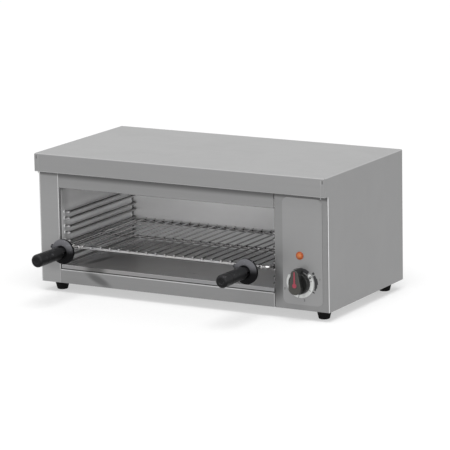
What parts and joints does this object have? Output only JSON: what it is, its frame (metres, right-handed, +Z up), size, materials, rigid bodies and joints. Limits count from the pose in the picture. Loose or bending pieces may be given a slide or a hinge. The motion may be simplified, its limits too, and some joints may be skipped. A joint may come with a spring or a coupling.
{
  "type": "salamander grill",
  "caption": "Open fronted electric salamander grill with a sliding wire rack on two insulated handles, a crumb tray and a rotary regulator.",
  "frame": {"origin": "on the floor under the middle of the bounding box, handles and gland included", "axes": "+X to the right seen from the front, +Y to the back, +Z up"},
  "size_m": [0.65, 0.4762, 0.283],
  "materials": {
    "brushed_casing": "fine brushed stainless steel",
    "brushed_fascia": "fine brushed stainless steel",
    "overlay_plate": "satin stainless steel",
    "plain_sheet": "plain rolled stainless sheet",
    "polished_lining": "bright annealed stainless sheet",
    "tray_sheet": "bright stainless sheet, darkened by heat",
    "chrome_wire": "bright chromed wire",
    "element_sheath": "oxidised heater sheath",
    "brass_fitting": "turned brass",
    "ceramic_bead": "glazed steatite",
    "zinc_fastener": "zinc plated steel",
    "black_phenolic": "satin moulded phenolic",
    "black_knob": "satin moulded plastic",
    "red_pointer": "printed red line",
    "ivory_moulding": "moulded plastic",
    "orange_lens": "clear orange lens, lamp off",
    "black_nylon": "moulded nylon",
    "black_rubber": "matt moulded rubber"
  },
  "bodies": {
    "cabinet": {"outer_casing": "brushed_casing", "base_pan": "plain_sheet", "back_panel": "plain_sheet", "back_panel_screws": "zinc_fastener", "left_column": "brushed_casing", "top_fascia": "brushed_fascia", "lower_fascia": "brushed_fascia", "control_panel": "brushed_casing", "control_overlay": "overlay_plate", "cavity_wall_left": "polished_lining", "cavity_wall_right": "polished_lining", "cavity_back": "polished_lining", "cavity_floor": "plain_sheet", "roof_reflector": "polished_lining", "guide_wires_left": "chrome_wire", "guide_wires_right": "chrome_wire", "element_front": "element_sheath", "element_middle": "element_sheath", "element_rear": "element_sheath", "element_ferrules": "brass_fitting", "element_insulators": "ceramic_bead", "element_hanger_left": "plain_sheet", "element_hanger_right": "plain_sheet", "regulator_body": "ivory_moulding", "regulator_nut": "brass_fitting", "pilot_lens": "orange_lens", "pilot_body": "ivory_moulding", "pilot_nut": "zinc_fastener", "terminal_block": "ivory_moulding", "terminal_screws": "brass_fitting", "cable_gland": "black_nylon", "gland_nut": "black_nylon", "foot_front_left": "black_rubber", "foot_front_right": "black_rubber", "foot_rear_left": "black_rubber", "foot_rear_right": "black_rubber", "foot_screws": "zinc_fastener", "foot_nuts": "zinc_fastener"},
    "rack": {"rack_frame": "chrome_wire", "rack_bars": "chrome_wire", "handle_wires_left": "chrome_wire", "handle_wires_right": "chrome_wire", "guard_left": "black_phenolic", "guard_right": "black_phenolic", "grip_left": "black_phenolic", "grip_right": "black_phenolic"},
    "tray": {"crumb_tray": "tray_sheet"},
    "control_knob": {"knob": "black_knob", "knob_pointer": "red_pointer", "regulator_shaft": "zinc_fastener"}
  },
  "joints": [
    {"name": "rack_slide", "type": "slide", "parent": "cabinet", "child": "rack", "axis": [0, -1, 0], "range_m": [0, 0.19]},
    {"name": "tray_slide", "type": "slide", "parent": "cabinet", "child": "tray", "axis": [0, -1, 0], "range_m": [0, 0.22]},
    {"name": "knob_turn", "type": "hinge", "parent": "cabinet", "child": "control_knob", "pos_m": [0.263, -0.0953, 0.073], "axis": [0, 1, 0], "range_deg": [0, 300]}
  ]
}
